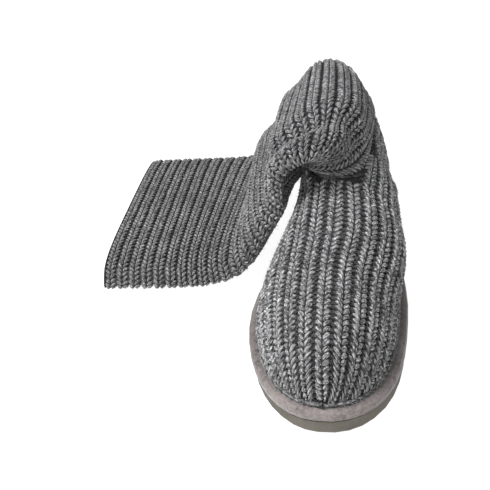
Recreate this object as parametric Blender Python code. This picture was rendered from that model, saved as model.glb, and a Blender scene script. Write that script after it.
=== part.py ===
"""Right knit boot with a slack shaft: outsole, suede-wrapped platform, insole and one hollow knit upper.

Metres, +Z up. The toe points to -Y and the medial side to +X. The origin is on the floor under the
middle of the ball. The shaft folds over the ankle to the lateral side and lies flat on the floor.
"""

import math

import bmesh
import bpy
import numpy as np

# Sole outline
SOLE_LENGTH = 0.269
BALL_WIDTH = 0.104
HEEL_WIDTH = 0.080
BALL_FROM_TOE = 0.092
HEEL_ROUND_LENGTH = 0.040
TOE_LEAN = 0.0050
WAIST_MEDIAL = 0.0030
WAIST_LATERAL = 0.0065
MEDIAL_SQUARENESS = 2.25
LATERAL_SQUARENESS = 2.05

# Outsole
FOREFOOT_THICKNESS = 0.0125
HEEL_THICKNESS = 0.0185
TOE_SPRING = 0.006
TOE_SPRING_LENGTH = 0.060
ARCH_RISE = 0.0025
BOTTOM_INSET = 0.0035
BOTTOM_BEVEL = 0.0030
OUTSOLE_INSET = 0.0010
GROOVE_WIDTH = 0.0030
GROOVE_DEPTH = 0.0020
GROOVE_PITCH = 0.0120
FOREFOOT_GROOVE_START = -0.0303
HEEL_GROOVE_MARGIN = 0.0146
FOREFOOT_GROOVES = 6
HEEL_GROOVES = 4

# Platform wrapped in suede, with the ledge that shows round the knit
PLATFORM_THICKNESS = 0.0075
PLATFORM_ROUND = 0.0030
LEDGE_WIDTH = 0.0052

# Foot of the upper
WALL = 0.0030
INSTEP_HEIGHT = 0.068
TOE_DOME_LENGTH = 0.050
TOE_DOME_SQUARENESS = 2.4
THROAT_FROM_TOE = 0.143
ANKLE_HEIGHT = 0.066
FOOT_SQUARENESS = 2.4
FORE_SQUARENESS = 1.85
HEEL_BULGE = 0.0020
MEDIAL_TAPER = 0.30
LATERAL_TAPER = 0.0
MEDIAL_BULGE = 0.0087
LATERAL_BULGE = -0.0025
BULGE_START = -0.020
BULGE_FULL = 0.035
INSTEP_SHIFT = 0.004

# Shaft
SHAFT_REACH = 0.190
SHAFT_ROUND_THICKNESS = 0.054
SHAFT_FLAT_WIDTH = 0.189
SHAFT_FLAT_BACK = 0.014
SHAFT_SWEEP = 0.013
SHAFT_TWIST = 0.12
TWIST_CENTRE_FROM_TOE = 0.173
SHAFT_FLAT_THICKNESS = 0.026
FOLD_RISE = 0.0115
ROUND_SQUARENESS = 2.3
FLAT_SQUARENESS = 3.4
CREST_SQUARENESS = 4.2
CREST_LEAN = 0.90

# Insole
INSOLE_THICKNESS = 0.0050
INSOLE_CLEARANCE = 0.0020
CLEARANCE = 0.0003

# Mesh density
STATIONS = 26
FOOT_RINGS = 13
RING_POINTS = 48
SHAFT_RINGS = 30

# The instep line above the feather edge: share of the sole's length from the toe, and
# height as a share of INSTEP_HEIGHT. Behind the throat it is the leg that the ankle cuts off.
INSTEP_LINE = (
    # from_toe, rise
    (0.00, 0.72),
    (0.20, 0.74),
    (0.34, 0.79),
    (0.45, 0.90),
    (0.534, 1.00),
    (0.60, 1.18),
    (0.68, 1.42),
    (0.80, 1.65),
    (1.00, 1.75),
)

# Sections of the shaft from the ankle to the collar.
# roll: degrees that the section has turned to the lateral side, 0 level and 90 upright.
# reach: inner side, 0 at the foot's axis, 1 at the ankle's side, 2 at the collar.
# height: inner side, 0 on the floor, 1 at the ankle, 2 in the crease of the fold.
# flat: 0 as thick as above the ankle, 1 as thin as the collar.
# wedge: how much thicker the back end is than the front end, 1 for twice as thick.
# twist: how far the back end lags towards the collar, 1 as on the flat shaft.
# front, back: 0 at the ankle's end, 1 at the end of the flat shaft.
SHAFT_SECTIONS = (
    # roll, reach, height, flat, wedge, twist, front, back
    (0, 1.00, 1.00, 0.12, 0.15, 0.1, 0.00, 0.00),
    (4, 0.95, 1.45, 0.14, 0.15, 0.3, 0.20, 0.00),
    (16, 0.80, 1.76, 0.24, 0.05, 0.7, 0.42, 0.00),
    (40, 0.66, 1.93, 0.36, 0.00, 0.9, 0.82, 0.00),
    (68, 0.60, 2.00, 0.70, 0.00, 0.8, 1.15, 0.00),
    (96, 0.62, 1.96, 1.00, 0.00, 0.7, 1.18, 0.00),
    (121, 0.71, 1.76, 1.15, -0.08, 0.6, 1.10, 0.00),
    (138, 0.83, 1.37, 1.14, -0.06, 0.6, 1.00, 0.00),
    (147, 0.945, 0.920, 1.12, 0.03, 0.7, 0.90, 0.02),
    (150, 1.010, 0.740, 1.11, 0.22, 0.7, 0.84, 0.10),
    (149, 1.062, 0.571, 1.09, 0.52, 0.5, 0.80, 0.20),
    (144, 1.108, 0.407, 1.07, 0.78, 0.1, 0.80, 0.35),
    (135, 1.158, 0.242, 1.04, 0.70, -0.2, 0.84, 0.52),
    (120, 1.250, 0.099, 1.02, 0.32, -0.2, 0.90, 0.72),
    (105, 1.405, 0.026, 1.00, 0.05, 0.3, 0.96, 0.90),
    (95, 1.600, 0.005, 1.00, 0.00, 0.9, 0.99, 0.98),
    (90, 1.790, 0.003, 1.00, 0.00, 1.0, 1.00, 1.00),
    (90, 1.975, 0.003, 1.00, 0.00, 1.0, 1.00, 1.00),
)

TOE_Y = -BALL_FROM_TOE
HEEL_Y = SOLE_LENGTH - BALL_FROM_TOE
HEEL_CENTRE_Y = HEEL_Y - HEEL_ROUND_LENGTH
THROAT_Y = TOE_Y + THROAT_FROM_TOE


def smooth(t):
    """0 to 1 with level ends."""
    t = min(max(t, 0.0), 1.0)
    return t * t * (3 - 2 * t)


def table_curve(rows, at):
    """Reads a smooth curve through rows of (position, value)."""
    xs = [row[0] for row in rows]
    ys = [row[1] for row in rows]
    if at <= xs[0]:
        return ys[0]
    if at >= xs[-1]:
        return ys[-1]
    slopes = []
    for i in range(len(xs)):
        low, high = max(i - 1, 0), min(i + 1, len(xs) - 1)
        slopes.append((ys[high] - ys[low]) / (xs[high] - xs[low]))
    i = next(k for k in range(len(xs) - 1) if at <= xs[k + 1])
    span = xs[i + 1] - xs[i]
    t = (at - xs[i]) / span
    return (
        ys[i] * (2 * t**3 - 3 * t**2 + 1)
        + slopes[i] * span * (t**3 - 2 * t**2 + t)
        + ys[i + 1] * (3 * t**2 - 2 * t**3)
        + slopes[i + 1] * span * (t**3 - t**2)
    )


def round_end(u, squareness):
    """Half width of a rounded end, 1 at u = 0 and 0 at u = 1."""
    u = min(max(u, 0.0), 1.0)
    return (1 - u**squareness) ** (1 / squareness)


def side_width(y, inset, side):
    """Distance from the axis to the outline at y, side -1 lateral and +1 medial."""
    squareness = MEDIAL_SQUARENESS if side > 0 else LATERAL_SQUARENESS
    ball = BALL_WIDTH / 2 - inset
    heel = HEEL_WIDTH / 2 - inset
    if y < 0:
        return ball * round_end(-y / (BALL_FROM_TOE - inset), squareness)
    if y < HEEL_CENTRE_Y:
        t = y / HEEL_CENTRE_Y
        waist = WAIST_MEDIAL if side > 0 else WAIST_LATERAL
        return ball + (heel - ball) * smooth(t) - waist * math.sin(math.pi * t) ** 2
    return heel * round_end((y - HEEL_CENTRE_Y) / (HEEL_ROUND_LENGTH - inset), MEDIAL_SQUARENESS)


def axis_x(y):
    """The toe leans to the medial side."""
    return TOE_LEAN * smooth(-y / BALL_FROM_TOE)


def toe_lift(y):
    """Height of the toe spring at y."""
    start = TOE_Y + TOE_SPRING_LENGTH
    return TOE_SPRING * max(0.0, (start - y) / TOE_SPRING_LENGTH) ** 2


def outsole_top(y):
    return (
        FOREFOOT_THICKNESS
        + (HEEL_THICKNESS - FOREFOOT_THICKNESS) * smooth(y / HEEL_CENTRE_Y)
        + toe_lift(y)
    )


def outsole_bottom(y):
    arch = math.sin(math.pi * min(max(y / HEEL_CENTRE_Y - 0.12, 0) / 0.66, 1)) ** 2
    return toe_lift(y) + ARCH_RISE * arch


def feather_z(y):
    """Top of the platform, on which the upper stands."""
    return outsole_top(y) + PLATFORM_THICKNESS + CLEARANCE


def outline_ring(inset, height):
    """The sole's outline, drawn in by inset: the toe, the lateral side, the heel, the medial side."""
    front, back = TOE_Y + inset, HEEL_Y - inset
    ys = [
        front + (back - front) * (1 - math.cos(math.pi * k / STATIONS)) / 2
        for k in range(STATIONS + 1)
    ]
    lateral = [(axis_x(y) - side_width(y, inset, -1), y, height(y)) for y in ys]
    medial = [(axis_x(y) + side_width(y, inset, 1), y, height(y)) for y in ys[1:-1]]
    return lateral + medial[::-1]


def ladder_faces(start, count, upward):
    """Faces across a closed ring whose first half is the lateral side."""
    half = count // 2
    faces = [[start, start + count - 1, start + 1]]
    for k in range(1, half - 1):
        faces.append([start + k, start + count - k, start + count - k - 1, start + k + 1])
    faces.append([start + half - 1, start + half + 1, start + half])
    return [face if upward else face[::-1] for face in faces]


def band_faces(first, second, count):
    """Faces between two rings, facing out when second lies above first."""
    return [
        [first + k, second + k, second + (k + 1) % count, first + (k + 1) % count]
        for k in range(count)
    ]


def mesh_object(name, points, faces, material, collection):
    mesh = bpy.data.meshes.new(name)
    mesh.from_pydata([tuple(p) for p in points], [], faces)
    work = bmesh.new()
    work.from_mesh(mesh)
    bmesh.ops.recalc_face_normals(work, faces=work.faces)
    work.to_mesh(mesh)
    work.free()
    mesh.shade_smooth()
    mesh.set_sharp_from_angle(angle=math.radians(40))
    mesh.materials.append(material)
    piece = bpy.data.objects.new(name, mesh)
    collection.objects.link(piece)
    return piece


def plate(name, rings, material, collection):
    """A closed slab whose rings run from the middle of its bottom to the middle of its top."""
    count = len(rings[0])
    points = [point for ring in rings for point in ring]
    faces = ladder_faces(0, count, False)
    for k in range(len(rings) - 1):
        faces += band_faces(k * count, (k + 1) * count, count)
    faces += ladder_faces((len(rings) - 1) * count, count, True)
    return mesh_object(name, points, faces, material, collection)


def principled(name, colour, roughness):
    material = bpy.data.materials.new(name)
    material.use_nodes = True
    shader = material.node_tree.nodes["Principled BSDF"]
    shader.inputs["Base Color"].default_value = (*colour, 1)
    shader.inputs["Roughness"].default_value = roughness
    shader.inputs["Metallic"].default_value = 0.0
    material.diffuse_color = (*colour, 1)
    return material


def groove_cutter(ys, collection):
    """Bars across the sole that cut the tread grooves."""
    mesh = bpy.data.meshes.new("groove_cutter")
    work = bmesh.new()
    for y in ys:
        bar = bmesh.ops.create_cube(work, size=1)["verts"]
        bmesh.ops.scale(work, vec=(2 * BALL_WIDTH, GROOVE_WIDTH, 2 * GROOVE_DEPTH), verts=bar)
        bmesh.ops.translate(work, vec=(0, y, 0), verts=bar)
    work.to_mesh(mesh)
    work.free()
    cutter = bpy.data.objects.new("groove_cutter", mesh)
    cutter.hide_render = True
    cutter.display_type = "WIRE"
    collection.objects.link(cutter)
    return cutter


def build_outsole(collection, cutters):
    """Foam outsole: rounded bottom edge, raised waist, toe spring and grooves across the tread."""
    rings = [
        outline_ring(BOTTOM_INSET + OUTSOLE_INSET + BOTTOM_BEVEL, outsole_bottom),
        outline_ring(BOTTOM_INSET + OUTSOLE_INSET, outsole_bottom),
        outline_ring(BOTTOM_INSET / 2 + OUTSOLE_INSET, lambda y: outsole_bottom(y) + BOTTOM_BEVEL / 2),
        outline_ring(OUTSOLE_INSET, lambda y: outsole_bottom(y) + 1.6 * BOTTOM_BEVEL),
        outline_ring(OUTSOLE_INSET, outsole_top),
    ]
    material = principled("outsole_foam", (0.18, 0.16, 0.145), 0.85)
    outsole = plate("outsole", rings, material, collection)
    forefoot = [FOREFOOT_GROOVE_START + GROOVE_PITCH * k for k in range(FOREFOOT_GROOVES)]
    heel = [HEEL_Y - HEEL_GROOVE_MARGIN - GROOVE_PITCH * k for k in range(HEEL_GROOVES)]
    cut = outsole.modifiers.new("grooves", "BOOLEAN")
    cut.operation = "DIFFERENCE"
    cut.object = groove_cutter(forefoot + heel, cutters)
    return outsole


def build_platform(collection):
    """Platform wrapped in suede, with a rounded edge all round."""

    def bottom(y):
        return outsole_top(y) + CLEARANCE

    def top(y):
        return outsole_top(y) + PLATFORM_THICKNESS

    edge = PLATFORM_ROUND
    rings = [
        outline_ring(OUTSOLE_INSET + edge, bottom),
        outline_ring(edge * 0.35, lambda y: bottom(y) + edge * 0.12),
        outline_ring(0.0, lambda y: bottom(y) + edge * 0.5),
        outline_ring(0.0, lambda y: top(y) - edge),
        outline_ring(edge * 0.30, lambda y: top(y) - edge * 0.30),
        outline_ring(edge, top),
    ]
    material = principled("suede_wrap", (0.21, 0.185, 0.175), 0.95)
    return plate("platform", rings, material, collection)


def build_insole(collection):
    """Sheepskin insole that lies on the platform inside the upper."""
    edge = LEDGE_WIDTH + WALL + INSOLE_CLEARANCE
    soft = INSOLE_THICKNESS / 3

    def top(y):
        return feather_z(y) + INSOLE_THICKNESS

    rings = [
        outline_ring(edge, feather_z),
        outline_ring(edge, lambda y: top(y) - soft),
        outline_ring(edge + soft, top),
    ]
    material = principled("sheepskin", (0.45, 0.42, 0.38), 1.0)
    return plate("insole", rings, material, collection)


def top_height(y):
    """Height of the instep line above the feather edge at y."""
    rise = table_curve(INSTEP_LINE, (y - TOE_Y) / SOLE_LENGTH) * INSTEP_HEIGHT
    tip = TOE_Y + LEDGE_WIDTH
    return rise * round_end((tip + TOE_DOME_LENGTH - y) / TOE_DOME_LENGTH, TOE_DOME_SQUARENESS)


def foot_point(y, height, side):
    """Point of the foot at y, height above the feather edge, on the lateral (-1) or medial (+1) side."""
    share = min(height / max(top_height(y), 1e-6), 1.0)
    squareness = between(FORE_SQUARENESS, FOOT_SQUARENESS, smooth((y - BULGE_START) / (BULGE_FULL - BULGE_START)))
    half = side_width(y, LEDGE_WIDTH, side) * round_end(share, squareness)
    rear = smooth(y / HEEL_Y)
    swell = math.sin(math.pi * min(height / ANKLE_HEIGHT, 1.0))
    waist = smooth((y - BULGE_START) / (BULGE_FULL - BULGE_START)) * smooth(2 - 2 * y / HEEL_CENTRE_Y)
    half *= 1 - (MEDIAL_TAPER if side > 0 else LATERAL_TAPER) * rear * (height / ANKLE_HEIGHT) ** 2
    half += (MEDIAL_BULGE if side > 0 else LATERAL_BULGE) * waist * swell
    ridge = axis_x(y) + INSTEP_SHIFT * share**2 * (1 - rear)
    return (ridge + side * half, y + HEEL_BULGE * rear * swell, feather_z(y) + height)


def resample(points, count):
    """count + 1 points evenly spaced along an open line."""
    line = np.array(points)
    along = np.concatenate([[0], np.cumsum(np.linalg.norm(np.diff(line, axis=0), axis=1))])
    wanted = np.linspace(0, along[-1], count + 1)
    return np.stack([np.interp(wanted, along, line[:, k]) for k in range(3)], axis=1)


def foot_ring(front_y, back_height):
    """A sloping slice of the foot: from the instep line at front_y to the heel at back_height."""
    front_height = top_height(front_y)
    back_y = HEEL_Y - LEDGE_WIDTH
    fine = 80

    def half_line(side):
        line = []
        for k in range(fine + 1):
            t = (1 - math.cos(math.pi * k / fine)) / 2
            y = front_y + (back_y - front_y) * t
            line.append(foot_point(y, front_height + (back_height - front_height) * t, side))
        return line

    half = RING_POINTS // 2
    lateral = resample(half_line(-1), half)
    medial = resample(half_line(1), half)
    return np.concatenate([lateral, medial[-2:0:-1]])


def instep_stations(count):
    """Places along the instep line, evenly spaced from the toe's feather edge to the throat."""
    tip = TOE_Y + LEDGE_WIDTH
    fine = 300
    ys = [tip + (THROAT_Y - tip) * (k / fine) ** 2 for k in range(fine + 1)]
    line = resample([(0, y, top_height(y)) for y in ys], count)
    return [float(point[1]) for point in line]


def foot_rings():
    ys = instep_stations(FOOT_RINGS)
    return [foot_ring(y, ANKLE_HEIGHT * k / FOOT_RINGS) for k, y in enumerate(ys)]


def shaft_row(at):
    """Reads every column of SHAFT_SECTIONS at, 0 for its first row and 1 for its last."""
    last = len(SHAFT_SECTIONS) - 1
    return [
        table_curve([(k, row[column]) for k, row in enumerate(SHAFT_SECTIONS)], at * last)
        for column in range(len(SHAFT_SECTIONS[0]))
    ]


def between(low, high, share):
    return low + (high - low) * share


def steps(share, middle, end):
    """0 to middle for the first unit of share, and on to end for the second."""
    return middle * min(share, 1.0) + (end - middle) * max(share - 1.0, 0.0)


def shaft_ring(row, ankle):
    """One section of the shaft, a flattened oval that starts at its front end."""
    roll, reach, height, flat, wedge, twist, front, back = row
    ankle_half = -ankle[:, 0].min()
    lag = SHAFT_TWIST * twist
    pivot_y = TOE_Y + TWIST_CENTRE_FROM_TOE
    ankle_front, ankle_back = ankle[:, 1].min(), ankle[:, 1].max()
    ankle_z = ankle[:, 2].mean()
    middle_y = (ankle_front + ankle_back) / 2 + SHAFT_FLAT_BACK
    turn = math.radians(roll)
    thick = between(SHAFT_ROUND_THICKNESS, SHAFT_FLAT_THICKNESS, flat) / 2
    inner_x = -steps(reach, ankle_half, SHAFT_REACH)
    sweep = SHAFT_SWEEP * max(reach - 1, 0.0)
    inner_z = steps(height, ankle_z, ankle_z + FOLD_RISE)
    front_y = between(ankle_front, middle_y - SHAFT_FLAT_WIDTH / 2, front)
    back_y = between(ankle_back, middle_y + SHAFT_FLAT_WIDTH / 2, back)
    across = (back_y - front_y) / 2
    flatness = min(max(flat, 0.0), 1.0)
    square = 2 / between(ROUND_SQUARENESS, FLAT_SQUARENESS, flatness)
    crest = 2 / between(ROUND_SQUARENESS, CREST_SQUARENESS, flatness)
    fine = 160
    line = []
    for k in range(fine + 1):
        angle = 2 * math.pi * k / fine
        c, s = math.cos(angle), math.sin(angle)
        power = crest if c > 0 > s else square
        along = -across * math.copysign(abs(c) ** power, c)
        out = thick * (1 - math.copysign(abs(s) ** power, s))
        out *= 1 + wedge * (1 + along / across) / 2
        lean = CREST_LEAN * min(front, 1.0) * smooth(-along / across)
        y = front_y + across + along - sweep + lean * (out - thick / 2)
        line.append(
            (
                inner_x + out * math.cos(turn) - lag * (y - pivot_y),
                y,
                inner_z + out * math.sin(turn),
            )
        )
    return resample(line, RING_POINTS)[:-1]


def build_upper(collection):
    """The hollow knit upper: open under the foot and at the collar."""
    rings = foot_rings()
    ankle = rings[-1]
    rings += [shaft_ring(shaft_row((k + 1) / SHAFT_RINGS), ankle) for k in range(SHAFT_RINGS)]
    outer = np.array(rings)
    along = np.gradient(outer, axis=0)
    around = np.roll(outer, -1, axis=1) - np.roll(outer, 1, axis=1)
    normal = np.cross(along, around)
    normal /= np.linalg.norm(normal, axis=2, keepdims=True)
    inner = outer - WALL * normal
    inner[0, :, 2] = outer[0, :, 2]
    count = RING_POINTS
    levels = len(rings)
    points = list(outer.reshape(-1, 3)) + list(inner.reshape(-1, 3))
    faces = []
    for k in range(levels - 1):
        faces += band_faces(k * count, (k + 1) * count, count)
        start = (levels + k) * count
        faces += [face[::-1] for face in band_faces(start, start + count, count)]
    faces += band_faces(levels * count, 0, count)
    faces += band_faces((levels - 1) * count, (2 * levels - 1) * count, count)
    material = principled("grey_knit", (0.13, 0.13, 0.135), 0.95)
    return mesh_object("upper", points, faces, material, collection)


def main():
    for old in list(bpy.data.objects):
        bpy.data.objects.remove(old)
    boot = bpy.data.collections.new("knit_boot")
    cutters = bpy.data.collections.new("cutters")
    for collection in (boot, cutters):
        bpy.context.scene.collection.children.link(collection)
    cutters.hide_render = True
    build_outsole(boot, cutters)
    build_platform(boot)
    build_insole(boot)
    build_upper(boot)


main()
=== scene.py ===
"""Looks of the knit boot: rib knit of modelled yarn, suede platform, foam outsole and sheepskin insole.

Metres, in the CAD frame: the toe points to -Y and the medial side to +X. Colours are linear.
"""

import math

import bpy
import numpy as np
from mathutils import Matrix, Vector


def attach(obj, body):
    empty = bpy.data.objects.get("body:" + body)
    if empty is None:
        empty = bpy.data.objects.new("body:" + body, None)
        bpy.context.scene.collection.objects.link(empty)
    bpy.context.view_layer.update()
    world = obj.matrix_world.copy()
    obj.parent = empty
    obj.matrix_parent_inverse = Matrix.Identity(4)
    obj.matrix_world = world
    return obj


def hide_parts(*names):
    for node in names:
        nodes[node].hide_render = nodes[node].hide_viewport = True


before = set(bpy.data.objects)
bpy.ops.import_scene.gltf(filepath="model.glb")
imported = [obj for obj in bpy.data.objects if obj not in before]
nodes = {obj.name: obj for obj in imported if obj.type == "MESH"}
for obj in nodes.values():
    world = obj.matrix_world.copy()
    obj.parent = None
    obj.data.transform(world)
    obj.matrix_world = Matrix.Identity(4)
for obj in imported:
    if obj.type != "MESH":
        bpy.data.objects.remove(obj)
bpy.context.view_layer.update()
scene = bpy.context.scene

# Sizes of the last and the shaft, as in the CAD
SOLE_LENGTH = 0.269
BALL_WIDTH = 0.104
HEEL_WIDTH = 0.080
BALL_FROM_TOE = 0.092
HEEL_ROUND_LENGTH = 0.040
TOE_LEAN = 0.0050
WAIST_MEDIAL = 0.0030
WAIST_LATERAL = 0.0065
MEDIAL_SQUARENESS = 2.25
LATERAL_SQUARENESS = 2.05
FOREFOOT_THICKNESS = 0.0125
HEEL_THICKNESS = 0.0185
TOE_SPRING = 0.006
TOE_SPRING_LENGTH = 0.060
PLATFORM_THICKNESS = 0.0075
LEDGE_WIDTH = 0.0052
CLEARANCE = 0.0003
INSTEP_HEIGHT = 0.068
TOE_DOME_LENGTH = 0.050
TOE_DOME_SQUARENESS = 2.4
THROAT_FROM_TOE = 0.143
ANKLE_HEIGHT = 0.066
FOOT_SQUARENESS = 2.4
FORE_SQUARENESS = 1.85
HEEL_BULGE = 0.0020
MEDIAL_TAPER = 0.30
LATERAL_TAPER = 0.0
MEDIAL_BULGE = 0.0087
LATERAL_BULGE = -0.0025
BULGE_START = -0.020
BULGE_FULL = 0.035
INSTEP_SHIFT = 0.004
SHAFT_REACH = 0.190
SHAFT_ROUND_THICKNESS = 0.054
SHAFT_FLAT_WIDTH = 0.189
SHAFT_FLAT_BACK = 0.014
SHAFT_SWEEP = 0.013
SHAFT_TWIST = 0.12
TWIST_CENTRE_FROM_TOE = 0.173
SHAFT_FLAT_THICKNESS = 0.026
FOLD_RISE = 0.0115
ROUND_SQUARENESS = 2.3
FLAT_SQUARENESS = 3.4
CREST_SQUARENESS = 4.2
CREST_LEAN = 0.90

INSTEP_LINE = (
    # from_toe as a share of the sole's length, rise as a share of the instep's height
    (0.00, 0.72),
    (0.20, 0.74),
    (0.34, 0.79),
    (0.45, 0.90),
    (0.534, 1.00),
    (0.60, 1.18),
    (0.68, 1.42),
    (0.80, 1.65),
    (1.00, 1.75),
)

SHAFT_SECTIONS = (
    # roll in degrees, reach, height, flat, wedge, twist, front, back
    (0, 1.00, 1.00, 0.12, 0.15, 0.1, 0.00, 0.00),
    (4, 0.95, 1.45, 0.14, 0.15, 0.3, 0.20, 0.00),
    (16, 0.80, 1.76, 0.24, 0.05, 0.7, 0.42, 0.00),
    (40, 0.66, 1.93, 0.36, 0.00, 0.9, 0.82, 0.00),
    (68, 0.60, 2.00, 0.70, 0.00, 0.8, 1.15, 0.00),
    (96, 0.62, 1.96, 1.00, 0.00, 0.7, 1.18, 0.00),
    (121, 0.71, 1.76, 1.15, -0.08, 0.6, 1.10, 0.00),
    (138, 0.83, 1.37, 1.14, -0.06, 0.6, 1.00, 0.00),
    (147, 0.945, 0.920, 1.12, 0.03, 0.7, 0.90, 0.02),
    (150, 1.010, 0.740, 1.11, 0.22, 0.7, 0.84, 0.10),
    (149, 1.062, 0.571, 1.09, 0.52, 0.5, 0.80, 0.20),
    (144, 1.108, 0.407, 1.07, 0.78, 0.1, 0.80, 0.35),
    (135, 1.158, 0.242, 1.04, 0.70, -0.2, 0.84, 0.52),
    (120, 1.250, 0.099, 1.02, 0.32, -0.2, 0.90, 0.72),
    (105, 1.405, 0.026, 1.00, 0.05, 0.3, 0.96, 0.90),
    (95, 1.600, 0.005, 1.00, 0.00, 0.9, 0.99, 0.98),
    (90, 1.790, 0.003, 1.00, 0.00, 1.0, 1.00, 1.00),
    (90, 1.975, 0.003, 1.00, 0.00, 1.0, 1.00, 1.00),
)

# Soft creases of the shaft, which the CAD leaves out: shares of the shaft's length and girth, rise in metres
CREASES = (
    # along, along_reach, around, around_reach, rise
    (0.36, 0.20, 0.085, 0.110, -0.0130),
    (0.45, 0.24, 0.300, 0.160, 0.0135),
    (0.32, 0.34, 0.985, 0.050, 0.0065),
    (0.28, 0.30, 0.905, 0.060, -0.0085),
)

# Ribs: a rib fills this share of its pitch, and a course is one stitch along it. START and END are courses
FOOT_RIB_PITCH = 0.0118
SHAFT_RIB_PITCH = 0.0098
COURSE = 0.0038
SHAFT_COURSE = 0.0039
FOOT_FILL = 0.87
SHAFT_FILL = 0.94
RIB_ROUND = 0.0010
SHAFT_GROUPS = 4
RIM_TOLERANCE = 0.002
RIB_START = (0.45, 0.65)
RIB_END = 0.4
SMALLEST_GIRTH = 0.018

# Relief of the shaft where its ribs crowd together, and along its front edge
SMALLEST_SQUEEZE = 0.35
EDGE_RELIEF = 0.6
EDGE_RELIEF_REACH = 0.09
EDGE_RELIEF_START = 0.28

# Legs of the stitches; fineness is points round the yarn, then rings along it
FOOT_YARN = (7, 6)
SHAFT_YARN = (6, 5)
FOOT_YARN_RADIUS = 0.00142
SHAFT_YARN_RADIUS = 0.00126
YARN_HEIGHT = 1.15
LEG_LENGTH = 0.0047
LEG_TUCK = 0.0008
LEG_ROOT = 0.13
LEG_EASE = 0.35
LEG_TAPER = 0.80
LEG_SWELL = (0.86, 0.22)
LEG_INSET = 0.6
LENGTH_SPREAD = 0.07
WIDTH_SPREAD = 0.05
RADIUS_SPREAD = 0.08
LIFT_SPREAD = 0.00012

# Ground behind the ribs: depths below the CAD surface, and the shares of the valleys' depth that are taken
# off under a rib and kept at the collar
VALLEY_DEPTH = 0.0034
UNDER_RIB = 0.45
LINING_DEPTH = 0.0042
COLLAR_DEPTH = 0.4
GROUND_REACH = 0.125
GROUND_ROWS = 150
GROUND_COLUMNS = 120
RIB_STEPS = 8
GROUND_ROW_MM = 1.2
GROUND_RIB_MM = 8
GIRTH_MM = 380
LINING_MM = 400
LINING_COLUMNS = 96
LINING_FOOT_RINGS = 26
LINING_SHAFT_RINGS = 60

# Purl bars in the valleys of the foot; BAR_MM is where their yarn attribute starts
BAR_FINENESS = (6, 4)
BAR_DEPTH = 0.0026
BAR_RADIUS = 0.0010
BAR_BOW = 0.0008
BAR_DROP = 0.0006
BAR_SPREAD = 0.0003
BAR_MM = 1.0
WHOLLY_INSIDE = 0.99

# Yarn sewn along the feather edge; EDGE_MM is where its yarn attribute starts and half of what it covers
EDGE_POINTS = 400
EDGE_RADIUS = 0.0015
EDGE_PITCH = 0.0042
EDGE_SPREAD = 0.12
EDGE_REACH = 0.62
EDGE_TAPER = 0.75
EDGE_INSET = 0.0010
EDGE_LIFT = 0.9
EDGE_TILT = 0.0006
EDGE_STEP = 0.001
EDGE_MM = (1.2, 1.8)

# Loose fibres: shares of a fibre's length that its middle and its end go out and aside
HAIR_COUNT = 26000
HAIR_LENGTH = (0.0012, 0.0032)
HAIR_WIDTH = 0.00006
HAIR_MIDDLE = (0.45, 0.5)
HAIR_END = (0.55, 1.0)
HAIR_SPREAD = 0.3
HAIR_CORNERS = 5
LOWEST_HAIR = 0.0003

SEED = 7
SEED_RANGE = 50
MM = 1000
JUST_OVER_ONE = 1.0001

# Yarn attribute: millimetres along a leg, share of a turn round it, and a number of the leg's own
LEG_MM = 6.0
PLIES = 4
PLY_TURN = 0.9

# Rows and points of the grids, and of the fine lines that they are read from
RING_POINTS = 192
SHAFT_ROWS = 260
FIRST_SHAFT_ROW = 1 / 30
FOOT_ROWS = 90
RIB_ROWS = 1200
BAR_ROWS = 900
FINE_RING = 80
FINE_INSTEP = 300
FINE_SECTION = 120
FINE_OVAL = 240

# Camera: focal length in pixels of the photograph, place and direction; AIM turns it so that all is in view
PHOTO_FOCAL = 620.0
PHOTO_WIDTH = 490.0
SENSOR = 36.0
NEAREST_SEEN = 0.02
CAMERA_PLACE = (0.0558, -0.3051, 0.303)
CAMERA_AHEAD = (-0.0384, 0.9993)
CAMERA_DOWN = math.radians(34.35)
AIM_RIGHT = -0.244
AIM_UP = -0.045

# Light and floor: a light's place, aim, size and power
KEY_LIGHT = ((-0.55, -0.30, 1.0), (-0.05, 0.05, 0.05), 0.45, 20.0)
FILL_LIGHT = ((0.2, -1.0, 0.6), (0.0, 0.0, 0.05), 0.8, 6.0)
WORLD_STRENGTH = 0.5
FLOOR_HALF_SIZE = 12.0
FLOOR_COLOUR = (0.20, 0.20, 0.20)
FLOOR_GLOW = 0.95
WHITE = (1.0, 1.0, 1.0)

# Sockets of the colour mix node, which have the same names
MIX_FACTOR = 0
MIX_FIRST = 6
MIX_SECOND = 7
MIX_COLOUR = 2

# Colours, the darker one first
YARN_DARK = (0.042, 0.042, 0.044)
YARN_MIDDLE = (0.137, 0.136, 0.140)
YARN_LIGHT = (0.325, 0.325, 0.327)
# The purl ground's colours are the yarn's, darkened with painted shade for the depth of the valleys between
# the ribs
PURL_SHADED_COLOURS = (0.006, 0.006, 0.007), (0.030, 0.030, 0.032)
LINING_COLOURS = (0.035, 0.035, 0.037), (0.14, 0.14, 0.145)
SUEDE_COLOURS = (0.100, 0.088, 0.086), (0.165, 0.145, 0.140)
SUEDE_NAP = (0.250, 0.222, 0.212)
# Colour of the painted shade in the suede's creases
SUEDE_CREASE_SHADE = (0.030, 0.026, 0.026)
# Painted light and shade on the suede: the toe's tip lighter and the rest darker, changing between these
# places along Y
SUEDE_PAINTED_LIGHT_Y = (-0.088, -0.040)
SUEDE_PAINTED_LIGHT_AND_SHADE = (1.12, 0.76)
FOAM_COLOURS = (0.092, 0.084, 0.070), (0.130, 0.120, 0.101)
# Colour of the painted shade in the foam's pores
FOAM_PORE_SHADE = (0.055, 0.048, 0.042)
FLEECE_COLOURS = (0.30, 0.27, 0.235), (0.60, 0.56, 0.50)
FLEECE_DEEP = (0.22, 0.20, 0.175)
HAIR_COLOURS = (0.06, 0.06, 0.064), (0.30, 0.30, 0.31)

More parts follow.
